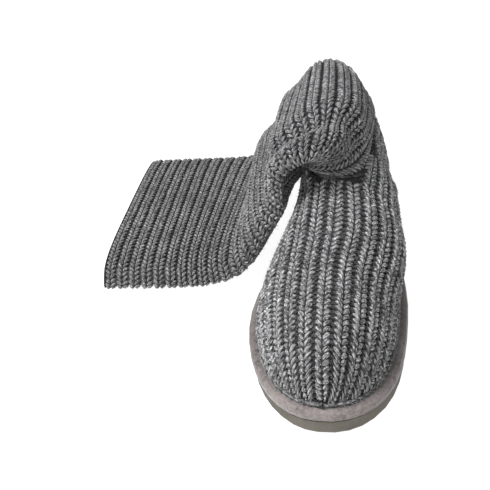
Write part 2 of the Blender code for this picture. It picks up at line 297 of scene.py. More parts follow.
TOE_Y = -BALL_FROM_TOE
HEEL_Y = SOLE_LENGTH - BALL_FROM_TOE
HEEL_CENTRE_Y = HEEL_Y - HEEL_ROUND_LENGTH
THROAT_Y = TOE_Y + THROAT_FROM_TOE


# Camera

def make_camera():
    """The photograph's camera: same place, angle and scale, turned a little for the whole boot."""
    data = bpy.data.cameras.new("camera")
    data.sensor_width = SENSOR
    data.lens = PHOTO_FOCAL * SENSOR / PHOTO_WIDTH
    data.clip_start = NEAREST_SEEN
    camera = bpy.data.objects.new("camera", data)
    scene.collection.objects.link(camera)
    camera.location = CAMERA_PLACE
    ahead = Vector((*CAMERA_AHEAD, 0)).normalized()
    forward = ahead * math.cos(CAMERA_DOWN) + Vector((0, 0, -math.sin(CAMERA_DOWN)))
    right = forward.cross(Vector((0, 0, 1))).normalized()
    up = right.cross(forward)
    aim = (forward + right * AIM_RIGHT + up * AIM_UP).normalized()
    turn = forward.rotation_difference(aim)
    level = Matrix((right, up, -forward)).transposed().to_quaternion()
    camera.rotation_mode = "QUATERNION"
    camera.rotation_quaternion = turn @ level
    scene.camera = camera


make_camera()


# Surface of the last and the shaft

def ease(t):
    """0 to 1 with level ends, for values or arrays between 0 and 1."""
    return t * t * (3 - 2 * t)


def smooth(t):
    """Level below 0 and above 1, and eased in between."""
    return ease(min(max(t, 0.0), 1.0))


def between(low, high, share):
    """The value at that share of the way from low to high."""
    return low + (high - low) * share


def distances(points):
    """Distance of each point of an open line from its first point."""
    return np.concatenate([[0], np.cumsum(np.linalg.norm(np.diff(points, axis=0), axis=1))])


def table_curve(rows, at):
    """Reads a smooth curve through rows of (position, value)."""
    xs = [row[0] for row in rows]
    ys = [row[1] for row in rows]
    if at <= xs[0]:
        return ys[0]
    if at >= xs[-1]:
        return ys[-1]
    slopes = []
    for i in range(len(xs)):
        low, high = max(i - 1, 0), min(i + 1, len(xs) - 1)
        slopes.append((ys[high] - ys[low]) / (xs[high] - xs[low]))
    i = next(k for k in range(len(xs) - 1) if at <= xs[k + 1])
    span = xs[i + 1] - xs[i]
    t = (at - xs[i]) / span
    return (
        ys[i] * (2 * t**3 - 3 * t**2 + 1)
        + slopes[i] * span * (t**3 - 2 * t**2 + t)
        + ys[i + 1] * (3 * t**2 - 2 * t**3)
        + slopes[i + 1] * span * (t**3 - t**2)
    )


def round_end(u, squareness):
    """Half width of a rounded end, 1 at u = 0 and 0 at u = 1."""
    u = min(max(u, 0.0), 1.0)
    return (1 - u**squareness) ** (1 / squareness)


def side_width(y, inset, side):
    """Distance from the axis to the outline at y, side -1 lateral and +1 medial."""
    squareness = MEDIAL_SQUARENESS if side > 0 else LATERAL_SQUARENESS
    ball = BALL_WIDTH / 2 - inset
    heel = HEEL_WIDTH / 2 - inset
    if y < 0:
        return ball * round_end(-y / (BALL_FROM_TOE - inset), squareness)
    if y < HEEL_CENTRE_Y:
        t = y / HEEL_CENTRE_Y
        waist = WAIST_MEDIAL if side > 0 else WAIST_LATERAL
        return ball + (heel - ball) * smooth(t) - waist * math.sin(math.pi * t) ** 2
    return heel * round_end((y - HEEL_CENTRE_Y) / (HEEL_ROUND_LENGTH - inset), MEDIAL_SQUARENESS)


def axis_x(y):
    """The toe leans to the medial side."""
    return TOE_LEAN * smooth(-y / BALL_FROM_TOE)


def feather_z(y):
    """Top of the platform, on which the upper stands."""
    spring = TOE_SPRING * max(0.0, (TOE_Y + TOE_SPRING_LENGTH - y) / TOE_SPRING_LENGTH) ** 2
    heel = (HEEL_THICKNESS - FOREFOOT_THICKNESS) * smooth(y / HEEL_CENTRE_Y)
    return FOREFOOT_THICKNESS + heel + spring + PLATFORM_THICKNESS + CLEARANCE


def top_height(y):
    """Height of the instep line above the feather edge at y."""
    rise = table_curve(INSTEP_LINE, (y - TOE_Y) / SOLE_LENGTH) * INSTEP_HEIGHT
    tip = TOE_Y + LEDGE_WIDTH
    return rise * round_end((tip + TOE_DOME_LENGTH - y) / TOE_DOME_LENGTH, TOE_DOME_SQUARENESS)


def foot_point(y, height, side):
    """Point of the foot at y, height above the feather edge, on the lateral (-1) or medial (+1) side."""
    share = min(height / max(top_height(y), 1e-6), 1.0)
    behind = smooth((y - BULGE_START) / (BULGE_FULL - BULGE_START))
    squareness = between(FORE_SQUARENESS, FOOT_SQUARENESS, behind)
    half = side_width(y, LEDGE_WIDTH, side) * round_end(share, squareness)
    rear = smooth(y / HEEL_Y)
    swell = math.sin(math.pi * min(height / ANKLE_HEIGHT, 1.0))
    waist = behind * smooth(2 - 2 * y / HEEL_CENTRE_Y)
    half *= 1 - (MEDIAL_TAPER if side > 0 else LATERAL_TAPER) * rear * (height / ANKLE_HEIGHT) ** 2
    half += (MEDIAL_BULGE if side > 0 else LATERAL_BULGE) * waist * swell
    ridge = axis_x(y) + INSTEP_SHIFT * share**2 * (1 - rear)
    return (ridge + side * half, y + HEEL_BULGE * rear * swell, feather_z(y) + height)


def resample(points, count):
    """count + 1 points evenly spaced along an open line."""
    line = np.array(points)
    along = distances(line)
    wanted = np.linspace(0, along[-1], count + 1)
    return np.stack([np.interp(wanted, along, line[:, k]) for k in range(3)], axis=1)


def foot_ring(front_y, back_height, count):
    """A sloping slice of the foot: from the instep line at front_y to the heel at back_height."""
    front_height = top_height(front_y)
    back_y = HEEL_Y - LEDGE_WIDTH

    def half_line(side):
        line = []
        for k in range(FINE_RING + 1):
            t = (1 - math.cos(math.pi * k / FINE_RING)) / 2
            y = front_y + (back_y - front_y) * t
            line.append(foot_point(y, front_height + (back_height - front_height) * t, side))
        return line

    lateral = resample(half_line(-1), count // 2)
    medial = resample(half_line(1), count // 2)
    return np.concatenate([lateral, medial[-2:0:-1]])


def instep_stations(count):
    """Places along the instep line, evenly spaced from the toe's feather edge to the throat."""
    tip = TOE_Y + LEDGE_WIDTH
    ys = [tip + (THROAT_Y - tip) * (k / FINE_INSTEP) ** 2 for k in range(FINE_INSTEP + 1)]
    line = resample([(0, y, top_height(y)) for y in ys], count)
    return [float(point[1]) for point in line]


def foot_rings(count, points):
    """Sloping slices from the feather edge to the ankle."""
    ys = instep_stations(count)
    return [foot_ring(y, ANKLE_HEIGHT * k / count, points) for k, y in enumerate(ys)]


def shaft_row(at):
    """Reads every column of SHAFT_SECTIONS, at 0 in its first row and at 1 in its last."""
    last = len(SHAFT_SECTIONS) - 1
    return [
        table_curve([(k, row[column]) for k, row in enumerate(SHAFT_SECTIONS)], at * last)
        for column in range(len(SHAFT_SECTIONS[0]))
    ]


def steps(share, middle, end):
    """0 to middle for the first unit of share, and on to end for the second."""
    return middle * min(share, 1.0) + (end - middle) * max(share - 1.0, 0.0)


def shaft_ring(row, ankle, count):
    """One section of the shaft, a flattened oval that starts at its front end."""
    roll, reach, height, flat, wedge, twist, front, back = row
    ankle_half = -ankle[:, 0].min()
    lag = SHAFT_TWIST * twist
    pivot_y = TOE_Y + TWIST_CENTRE_FROM_TOE
    ankle_front, ankle_back = ankle[:, 1].min(), ankle[:, 1].max()
    ankle_z = ankle[:, 2].mean()
    middle_y = (ankle_front + ankle_back) / 2 + SHAFT_FLAT_BACK
    turn = math.radians(roll)
    thick = between(SHAFT_ROUND_THICKNESS, SHAFT_FLAT_THICKNESS, flat) / 2
    inner_x = -steps(reach, ankle_half, SHAFT_REACH)
    sweep = SHAFT_SWEEP * max(reach - 1, 0.0)
    inner_z = steps(height, ankle_z, ankle_z + FOLD_RISE)
    front_y = between(ankle_front, middle_y - SHAFT_FLAT_WIDTH / 2, front)
    back_y = between(ankle_back, middle_y + SHAFT_FLAT_WIDTH / 2, back)
    across = (back_y - front_y) / 2
    flatness = min(max(flat, 0.0), 1.0)
    square = 2 / between(ROUND_SQUARENESS, FLAT_SQUARENESS, flatness)
    crest = 2 / between(ROUND_SQUARENESS, CREST_SQUARENESS, flatness)
    angle = np.linspace(0, 2 * math.pi, FINE_OVAL + 1)
    c, s = np.cos(angle), np.sin(angle)
    power = np.where((c > 0) & (s < 0), crest, square)
    along = -across * np.copysign(np.abs(c) ** power, c)
    out = thick * (1 - np.copysign(np.abs(s) ** power, s))
    out *= 1 + wedge * (1 + along / across) / 2
    share = np.clip(-along / across, 0, 1)
    lean = CREST_LEAN * min(front, 1.0) * ease(share)
    y = front_y + across + along - sweep + lean * (out - thick / 2)
    x = inner_x + out * math.cos(turn) - lag * (y - pivot_y)
    z = inner_z + out * math.sin(turn)
    return resample(np.stack([x, y, z], axis=1), count)[:-1]


def crease_rise(at, around):
    """How far the knit stands out of the CAD surface in its soft creases."""
    total = np.zeros(np.broadcast(at, around).shape)
    for along, along_reach, centre, around_reach, rise in CREASES:
        turn = np.mod(around - centre + 0.5, 1.0) - 0.5
        reach = np.clip(np.sqrt(((at - along) / along_reach) ** 2 + (turn / around_reach) ** 2), 0, 1)
        total = total + rise * (1 - reach * reach) ** 2
    return total


# Grids: rows of points in order along the shaft or the foot

def grid_normals(grid, closed):
    """Unit normals of a grid of points: outward on closed rings, inward on the open grid of the foot."""
    down = np.gradient(grid, axis=0)
    if closed:
        across = np.roll(grid, -1, axis=1) - np.roll(grid, 1, axis=1)
    else:
        across = np.gradient(grid, axis=1)
    normal = np.cross(down, across)
    length = np.linalg.norm(normal, axis=2, keepdims=True)
    return normal / np.maximum(length, 1e-12)


def sample_grid(grid, row, column, closed):
    """Reads a grid between its points, never beyond its last row or, where it is open, its last column."""
    row = np.clip(row, 0, grid.shape[0] - JUST_OVER_ONE)
    r0 = np.floor(row).astype(int)
    if closed:
        column = np.mod(column, grid.shape[1])
        c0 = np.floor(column).astype(int)
        c1 = (c0 + 1) % grid.shape[1]
    else:
        column = np.clip(column, 0, grid.shape[1] - JUST_OVER_ONE)
        c0 = np.floor(column).astype(int)
        c1 = c0 + 1
    u = (row - r0)[:, None]
    v = (column - c0)[:, None]
    return (
        grid[r0, c0] * (1 - u) * (1 - v)
        + grid[r0 + 1, c0] * u * (1 - v)
        + grid[r0, c1] * (1 - u) * v
        + grid[r0 + 1, c1] * u * v
    )


class FootGrid:
    """Surface of the foot, read by row and by distance from the instep line, negative on the lateral side.

    Rows run from the toe to the heel, columns from the lateral feather over the instep to the medial one.
    """

    HALF = 60
    PAST_FEATHER = 0.05

    def __init__(self):
        front = instep_stations(FOOT_ROWS)
        back_y = HEEL_Y - LEDGE_WIDTH
        back = [
            THROAT_Y + (back_y - THROAT_Y) * math.sin(math.pi / 2 * k / FOOT_ROWS)
            for k in range(1, FOOT_ROWS + 1)
        ]
        throat_height = top_height(THROAT_Y)
        rows = []
        lengths = []
        for y in front + back:
            if y <= THROAT_Y:
                high = top_height(y)
            else:
                high = between(throat_height, ANKLE_HEIGHT, (y - THROAT_Y) / (back_y - THROAT_Y))
            lines = [self.section(y, high, side) for side in (-1, 1)]
            lateral, medial = [resample(line, self.HALF) for line in lines]
            rows.append(np.concatenate([lateral, medial[::-1][1:]]))
            lengths.append([distances(line)[-1] for line in lines])
        self.points = np.array(rows)
        self.lengths = np.maximum(np.array(lengths), 1e-5)
        self.throat = len(front) - 1
        self.last = len(rows) - 1
        self.normals = -grid_normals(self.points, False)

    def section(self, y, high, side):
        """Fine line up the side at y, from the feather edge to its top."""
        heights = [high * math.sin(math.pi / 2 * k / FINE_SECTION) for k in range(FINE_SECTION + 1)]
        return [foot_point(y, height, side) for height in heights]

    def from_feather(self, row, place, length):
        """Distance from the feather edge; behind the throat, the instep line is as far as at the throat."""
        side = (place > 0).astype(int)
        return np.where(row > self.throat, self.lengths[self.throat, side], length) - np.abs(place)

    def column(self, row, place):
        """Column of the grid for a signed distance from the instep line."""
        side = (place > 0).astype(int)
        low = np.clip(np.floor(row).astype(int), 0, self.last - 1)
        share = np.clip(row - low, 0, 1)
        length = self.lengths[low, side] * (1 - share) + self.lengths[low + 1, side] * share
        part = self.from_feather(row, place, length) / length
        part = np.clip(part, -self.PAST_FEATHER, 1.0) * self.HALF
        return np.where(side == 0, part, 2 * self.HALF - part)

    def inside(self, row, place):
        """True where the place is on the knit at that row."""
        low = np.clip(np.round(row).astype(int), 0, self.last)
        length = self.lengths[low, (place > 0).astype(int)]
        up = self.from_feather(row, place, length)
        return (up >= 0) & (up <= length)

    def read(self, row, place):
        """Points and normals of the surface."""
        column = self.column(row, place)
        return sample_grid(self.points, row, column, False), sample_grid(self.normals, row, column, False)

    def rib_line(self, rows, place, tolerance=0.0):
        """Distance along the rib at that place for each row, and whether it is on the knit there."""
        spots = np.full(len(rows), place)
        points, _ = self.read(rows, spots)
        return distances(points), self.inside(rows, spots - tolerance * np.sign(place))


class ShaftGrid:
    """Surface of the shaft, read by rib and by place round it, 0 at the front end and 1 all the way round.

    The normals are shorter where the ribs crowd together, so that the yarn lies flatter there, and longer
    along the front edge, where the ribs stand apart.
    """

    def __init__(self):
        ankle = foot_ring(THROAT_Y, ANKLE_HEIGHT, RING_POINTS)
        ats = [between(FIRST_SHAFT_ROW, 1, k / (SHAFT_ROWS - 1)) for k in range(SHAFT_ROWS)]
        turn = np.arange(RING_POINTS) / RING_POINTS
        plain = np.array([ankle] + [shaft_ring(shaft_row(at), ankle, RING_POINTS) for at in ats])
        rise = crease_rise(np.array([0.0] + ats)[:, None], turn)
        self.points = plain + grid_normals(plain, True) * rise[:, :, None]
        step = np.linalg.norm(np.diff(self.points, axis=0), axis=2)
        # The ribs are spaced evenly along the outer side of the bend
        outer_step = step[:, RING_POINTS // 2:].mean(axis=1)
        self.distance = np.concatenate([[0], np.cumsum(outer_step)])
        spacing = np.linalg.norm(np.gradient(self.points, axis=0), axis=2)
        squeeze = np.clip(spacing / np.gradient(self.distance)[:, None], SMALLEST_SQUEEZE, 1.0)
        near = np.clip(1 - np.minimum(turn, 1 - turn) / EDGE_RELIEF_REACH, 0, 1)
        fall = np.clip(np.linspace(0, 1, len(self.points)) / EDGE_RELIEF_START - 1, 0, 1)
        relief = 1 + EDGE_RELIEF * fall[:, None] * ease(near)
        self.normals = grid_normals(self.points, True) * (squeeze * relief)[:, :, None]
        self.count = int(round(self.distance[-1] / SHAFT_RIB_PITCH))
        self.pitch = self.distance[-1] / self.count
        ring_step = np.linalg.norm(np.roll(self.points, -1, axis=1) - self.points, axis=2)
        self.perimeter = ring_step.sum(axis=1)

    def row(self, rib):
        """Row of the grid at that number of ribs from the ankle."""
        return np.interp(rib * self.pitch, self.distance, np.arange(len(self.distance)))

    def read(self, rib, around):
        """Points and normals of the surface."""
        row = self.row(rib)
        column = around * RING_POINTS
        return sample_grid(self.points, row, column, True), sample_grid(self.normals, row, column, True)


# Yarn

def yarn_angles(sides):
    """Angles of the points round the yarn, from the deepest one."""
    return np.linspace(0, 2 * math.pi, sides, endpoint=False) - math.pi / 2


def yarn_data(mm, turn, seed, shape):
    """The yarn attribute of a block of points of that shape."""
    return np.stack([np.broadcast_to(part, shape).ravel() for part in (mm, turn, seed)], axis=1)


def leg_shape(rings):
    """Place along, place across, thickness and tuck at each ring of one slanted leg of a stitch."""
    t = np.linspace(0, 1, rings)
    across = LEG_ROOT + (1 - LEG_ROOT) * (LEG_EASE * ease(t) + (1 - LEG_EASE) * t)
    ends = 2 * t - 1
    thin, swell = LEG_SWELL
    taper = np.sqrt(1 - LEG_TAPER * ends**4) * (thin + swell * t)
    return t, across, taper, ends**2


def build_legs(at, course, half_width, radius, fineness, reader, rng):
    """Points and yarn attribute of the two legs of every stitch of one rib.

    at is the place of each stitch along the rib, and half_width how far a leg reaches from its middle.
    reader(along, across) gives points and normals of the surface.
    """
    sides, rings = fineness
    t, across, taper, tuck = leg_shape(rings)
    centre = np.repeat(at, 2)[:, None]
    side = np.tile([-1.0, 1.0], len(at))[:, None]
    count = len(centre)
    length = rng.uniform(1 - LENGTH_SPREAD, 1 + LENGTH_SPREAD, (count, 1)) * LEG_LENGTH * (course / COURSE)
    width = rng.uniform(1 - WIDTH_SPREAD, 1 + WIDTH_SPREAD, (count, 1)) * half_width
    thick = rng.uniform(1 - RADIUS_SPREAD, 1 + RADIUS_SPREAD, (count, 1)) * radius
    lift = rng.normal(0, LIFT_SPREAD, (count, 1))
    a = centre + length * (t - 0.5)
    b = side * width * across
    a_turn = length * np.gradient(t)
    b_turn = side * width * np.gradient(across)
    size = np.sqrt(a_turn**2 + b_turn**2)
    r = thick * taper
    sink = YARN_HEIGHT * thick + RIB_ROUND * across**2 + LEG_TUCK * tuck
    cos, sin = np.cos(yarn_angles(sides)), np.sin(yarn_angles(sides))
    a = a[:, :, None] - (b_turn / size * r)[:, :, None] * cos
    b = b[:, :, None] + (a_turn / size * r)[:, :, None] * cos
    n = (lift - sink)[:, :, None] + (YARN_HEIGHT * r)[:, :, None] * sin
    points, normals = reader(a.ravel(), b.ravel())
    seed = rng.uniform(0, SEED_RANGE, (count, 1, 1))
    yarn = yarn_data(t[:, None] * LEG_MM, np.arange(sides) / sides, seed, a.shape)
    return points + normals * n.ravel()[:, None], yarn


def yarn_faces(count, fineness):
    """Quads of many pieces of yarn, each a tube of rings without end caps."""
    sides, rings = fineness
    k = np.arange(sides)
    quads = []
    for r in range(rings - 1):
        low, high = r * sides, (r + 1) * sides
        quads.append(np.stack([low + k, low + (k + 1) % sides, high + (k + 1) % sides, high + k], axis=1))
    quads = np.concatenate(quads)
    offset = (np.arange(count) * rings * sides)[:, None, None]
    return (quads[None] + offset).reshape(-1, 4)


def grid_mesh(name, points, faces, material, yarn=None):
    """Mesh object from arrays of points and of faces that have the same number of corners."""
    mesh = bpy.data.meshes.new(name)
    mesh.vertices.add(len(points))
    mesh.vertices.foreach_set("co", np.asarray(points, dtype=np.float32).ravel())
    mesh.loops.add(faces.size)
    mesh.loops.foreach_set("vertex_index", faces.astype(np.int32).ravel())
    mesh.polygons.add(len(faces))
    mesh.polygons.foreach_set("loop_start", (np.arange(len(faces)) * faces.shape[1]).astype(np.int32))
    mesh.update(calc_edges=True)
    mesh.validate()
    mesh.shade_smooth()
    if yarn is not None:
        layer = mesh.attributes.new("yarn", "FLOAT_VECTOR", "POINT")
        layer.data.foreach_set("vector", np.asarray(yarn, dtype=np.float32).ravel())
    mesh.materials.append(material)
    piece = bpy.data.objects.new(name, mesh)
    scene.collection.objects.link(piece)
    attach(piece, "root")
    return piece


def yarn_piece(name, parts, fineness, material, flip=False):
    """One mesh object from the points and yarn attributes of many pieces of yarn."""
    points = np.concatenate([part[0] for part in parts])
    yarn = np.concatenate([part[1] for part in parts])
    faces = yarn_faces(len(points) // math.prod(fineness), fineness)
    return grid_mesh(name, points, faces[:, ::-1] if flip else faces, material, yarn)


def build_foot_knit(grid, material):
    """Ribs along the foot, from the toe's feather edge to the ankle seam or round the heel."""
    rng = np.random.default_rng(SEED)
    count = int(grid.lengths.max() / FOOT_RIB_PITCH)
    rows = np.linspace(0, grid.last, RIB_ROWS)
    girth = grid.lengths.sum(axis=1)
    groups = {"even": [], "odd": []}
    for number in range(-count, count + 1):
        place = number * FOOT_RIB_PITCH
        distance, inside = grid.rib_line(rows, place, RIM_TOLERANCE)
        runs = np.flatnonzero(np.diff(np.concatenate([[0], inside.astype(int), [0]])))
        for first, last in zip(runs[::2], runs[1::2]):
            start, end = distance[first], distance[last - 1]
            if end - start < 2 * COURSE:
                continue
            stitches = int((end - start) / COURSE)
            at = start + (np.arange(stitches) + rng.uniform(*RIB_START)) * COURSE
            at = at[at < end - RIB_END * COURSE]
            row = np.interp(at, distance, rows)
            at = at[np.interp(row, np.arange(len(girth)), girth) > SMALLEST_GIRTH]
            groups["odd" if number % 2 else "even"].append((place, at, distance))
    half_width = FOOT_RIB_PITCH * FOOT_FILL / 2 - FOOT_YARN_RADIUS * LEG_INSET
    pieces = []
    for key, ribs in groups.items():
        legs = []
        for place, at, distance in ribs:

            def read(along, across, place=place, distance=distance):
                return grid.read(np.interp(along, distance, rows), place + across)

            legs.append(build_legs(at, COURSE, half_width, FOOT_YARN_RADIUS, FOOT_YARN, read, rng))
        pieces.append(yarn_piece("foot_knit_" + key, legs, FOOT_YARN, material, flip=True))
    return pieces


def build_bars(grid, material):
    """Purl bars: a short piece of yarn across each valley of the foot at every course."""
    rng = np.random.default_rng(SEED + 2)
    sides, rings = BAR_FINENESS
    count = int(grid.lengths.max() / FOOT_RIB_PITCH)
    rows = np.linspace(0, grid.last, BAR_ROWS)
    angle = yarn_angles(sides)
    t = np.linspace(-1, 1, rings)[:, None]
    half = FOOT_RIB_PITCH * (1 - FOOT_FILL) / 2 + BAR_RADIUS
    bars = []
    for number in range(-count, count):
        place = (number + 0.5) * FOOT_RIB_PITCH
        distance, inside = grid.rib_line(rows, place)
        at = np.arange(COURSE, distance[-1], COURSE)
        at = at[np.interp(at, distance, inside.astype(float)) > WHOLLY_INSIDE]
        many = len(at)
        if many == 0:
            continue
        a = at[:, None, None] + rng.normal(0, BAR_SPREAD, (many, 1, 1))
        a = a - BAR_BOW * t**2 + BAR_RADIUS * np.cos(angle)
        b = place + half * t + 0 * a
        n = -BAR_DEPTH - BAR_DROP * t**2 + BAR_RADIUS * np.sin(angle) + 0 * a
        points, normals = grid.read(np.interp(a.ravel(), distance, rows), b.ravel())
        seed = rng.uniform(0, SEED_RANGE, (many, 1, 1))
        yarn = yarn_data(BAR_MM + (t + 1) * half * MM, np.arange(sides) / sides, seed, a.shape)
        bars.append((points + normals * n.ravel()[:, None], yarn))
    return [yarn_piece("purl_bars", bars, BAR_FINENESS, material)]


def build_edge(material):
    """Overcast yarn along the feather edge, where the knit is sewn to the platform."""
    rng = np.random.default_rng(SEED + 3)
    sides, rings = BAR_FINENESS
    ring = foot_ring(TOE_Y + LEDGE_WIDTH, 0.0, EDGE_POINTS)
    ring = np.concatenate([ring, ring[:1]])
    distance = distances(ring)
    count = int(distance[-1] / EDGE_PITCH)
    at = (np.arange(count) + rng.uniform(-EDGE_SPREAD, EDGE_SPREAD, count)) * EDGE_PITCH
    t = np.linspace(-1, 1, rings)[:, None]
    angle = yarn_angles(sides)
    along = at[:, None, None] + EDGE_REACH * EDGE_PITCH * t + 0 * angle

    def spot(s):
        s = np.mod(s, distance[-1])
        return np.stack([np.interp(s, distance, ring[:, k]) for k in range(3)], axis=-1)

    centre = spot(along)
    tangent = spot(along + EDGE_STEP) - spot(along - EDGE_STEP)
    tangent /= np.maximum(np.linalg.norm(tangent, axis=-1, keepdims=True), 1e-9)
    outward = np.stack([-tangent[..., 1], tangent[..., 0], 0 * tangent[..., 0]], axis=-1)
    from_middle = centre - centre.mean(axis=(0, 1, 2))
    outward *= np.sign((outward * from_middle).sum(axis=-1, keepdims=True))
    radius = EDGE_RADIUS * np.sqrt(1 - EDGE_TAPER * t**4)
    points = centre - outward * (EDGE_INSET - (radius * np.cos(angle))[..., None])
    points[..., 2] += EDGE_RADIUS * EDGE_LIFT + EDGE_TILT * t + radius * np.sin(angle)
    seed = rng.uniform(0, SEED_RANGE, (count, 1, 1))
    first, reach = EDGE_MM
    yarn = yarn_data(first + reach * (t + 1), np.arange(sides) / sides, seed, along.shape)
    return [yarn_piece("edge_yarn", [(points.reshape(-1, 3), yarn)], BAR_FINENESS, material)]


def build_shaft_knit(grid, material):
    """Ribs round the leg, from the ankle seam to the collar."""
    rng = np.random.default_rng(SEED + 1)
    half_width = grid.pitch * SHAFT_FILL / 2 - SHAFT_YARN_RADIUS * LEG_INSET
    pieces = []
    for part in range(SHAFT_GROUPS):
        first, last = [int(round(k * grid.count / SHAFT_GROUPS)) for k in (part, part + 1)]
        legs = []
        for number in range(first, last):
            rib = number + 0.5
            perimeter = float(np.interp(grid.row(rib), np.arange(len(grid.perimeter)), grid.perimeter))
            stitches = int(round(perimeter / SHAFT_COURSE))
            course = perimeter / stitches
            at = (np.arange(stitches) + rng.uniform(0, 1)) * course

            def read(along, across, rib=rib, perimeter=perimeter):
                return grid.read(rib + across / grid.pitch, -along / perimeter)

            legs.append(build_legs(at, course, half_width, SHAFT_YARN_RADIUS, SHAFT_YARN, read, rng))
        pieces.append(yarn_piece("shaft_knit_" + str(part + 1), legs, SHAFT_YARN, material))
    return pieces


# Loose fibres

def build_fuzz(pieces, material):
    """Short bent fibres standing off the yarn, each a narrow folded strip."""
    rng = np.random.default_rng(SEED + 4)
    points, faces = [], []
    total = 0
    for piece in pieces:
        mesh = piece.data
        place = np.empty(len(mesh.vertices) * 3, dtype=np.float32)
        normal = np.empty(len(mesh.vertices) * 3, dtype=np.float32)
        mesh.vertices.foreach_get("co", place)
        mesh.vertices.foreach_get("normal", normal)
        count = HAIR_COUNT // len(pieces)
        pick = rng.integers(0, len(mesh.vertices), count)
        root = place.reshape(-1, 3)[pick]
        out = normal.reshape(-1, 3)[pick]
        lean = rng.normal(0, 1, (count, 3))
        lean /= np.linalg.norm(lean, axis=1, keepdims=True)
        side = np.cross(out, lean)
        side /= np.maximum(np.linalg.norm(side, axis=1, keepdims=True), 1e-6)
        length = rng.uniform(*HAIR_LENGTH, (count, 1))
        middle = root + (HAIR_MIDDLE[0] * out + HAIR_MIDDLE[1] * lean) * length
        stray = rng.normal(0, HAIR_SPREAD, (count, 3))
        end = root + (HAIR_END[0] * out + HAIR_END[1] * lean + stray) * length
        half = side * HAIR_WIDTH
        corners = np.stack([root - half, root + half, middle - half, middle + half, end], axis=1)
        points.append(corners.reshape(-1, 3))
        base = total + np.arange(count)[:, None] * HAIR_CORNERS
        faces.append(np.concatenate([base + [0, 1, 3], base + [0, 3, 2], base + [2, 3, 4]]))
        total += count * HAIR_CORNERS
    points = np.concatenate(points)
    points[:, 2] = np.maximum(points[:, 2], LOWEST_HAIR)
    return [grid_mesh("wool_fuzz", points, np.concatenate(faces), material)]


# Ground of the knit: the purl valleys between the ribs, and the inside of the wall

def ground_depth(phase, fill):
    """Depth of the ground below the CAD surface, full in a valley and less under a rib."""
    near = np.abs(np.mod(phase, 1.0) - 0.5) * 2
    under = 1.0 - UNDER_RIB * np.cos(near / fill * math.pi / 2)
    return VALLEY_DEPTH * np.where(near > fill, 1.0, under)


def quad_grid(rows, columns, closed, flip):
    """Quads between the points of a grid."""
    r = np.arange(rows - 1)[:, None]
    c = np.arange(columns if closed else columns - 1)[None, :]
    right = (c + 1) % columns
    corners = [r * columns + c, r * columns + right, (r + 1) * columns + right, (r + 1) * columns + c]
    faces = np.stack([np.broadcast_to(k, (rows - 1, c.shape[1])) for k in corners], axis=-1).reshape(-1, 4)
    return faces[:, ::-1] if flip else faces


def build_foot_ground(grid, material):
    """The valleys of the foot."""
    across = np.arange(-GROUND_REACH, GROUND_REACH, FOOT_RIB_PITCH / RIB_STEPS)
    rows = np.linspace(0, grid.last, GROUND_ROWS)
    row, place = [part.ravel() for part in np.meshgrid(rows, across, indexing="ij")]
    points, normals = grid.read(row, place)
    points = points - normals * ground_depth(place / FOOT_RIB_PITCH + 0.5, FOOT_FILL)[:, None]
    yarn = yarn_data(row * GROUND_ROW_MM, place * MM, 0.0, row.shape)
    faces = quad_grid(len(rows), len(across), False, False)
    faces = faces[grid.inside(row, place)[faces].any(axis=1)]
    return grid_mesh("foot_ground", points, faces, material, yarn)


def build_shaft_ground(grid, material):
    """The valleys of the shaft."""
    ribs = np.arange(grid.count * RIB_STEPS + 1) / RIB_STEPS
    turns = np.arange(GROUND_COLUMNS) / GROUND_COLUMNS
    rib, around = [part.ravel() for part in np.meshgrid(ribs, turns, indexing="ij")]
    points, normals = grid.read(rib, around)
    points = points - normals * ground_depth(rib, SHAFT_FILL)[:, None]
    yarn = yarn_data(around * GIRTH_MM, rib * GROUND_RIB_MM, 0.0, rib.shape)
    faces = quad_grid(len(ribs), len(turns), True, True)
    return grid_mesh("shaft_ground", points, faces, material, yarn)


def build_lining(material):
    """The inside of the wall, from the feather edge to the collar, where it turns out to the ribs."""
    rings = foot_rings(LINING_FOOT_RINGS, LINING_COLUMNS)
    ats = (np.arange(LINING_SHAFT_RINGS - 1) + 2) / LINING_SHAFT_RINGS
    outer = np.array(rings + [shaft_ring(shaft_row(at), rings[-1], LINING_COLUMNS) for at in ats])
    at = np.concatenate([np.zeros(len(rings)), ats])[:, None]
    rise = crease_rise(at, np.arange(LINING_COLUMNS) / LINING_COLUMNS)
    outer = outer + grid_normals(outer, True) * rise[:, :, None]
    normals = grid_normals(outer, True)
    inner = outer - normals * LINING_DEPTH
    inner[0, :, 2] = outer[0, :, 2]
    inner = np.concatenate([inner, outer[-1:] - normals[-1:] * VALLEY_DEPTH * COLLAR_DEPTH])
    u = np.linspace(0, GIRTH_MM, LINING_COLUMNS)
    v = np.linspace(0, LINING_MM, len(inner))[:, None]
    yarn = yarn_data(u, v, 0.0, inner.shape[:2])
    faces = quad_grid(len(inner), LINING_COLUMNS, True, False)
    return grid_mesh("knit_inside", inner.reshape(-1, 3), faces, material, yarn)


# Materials

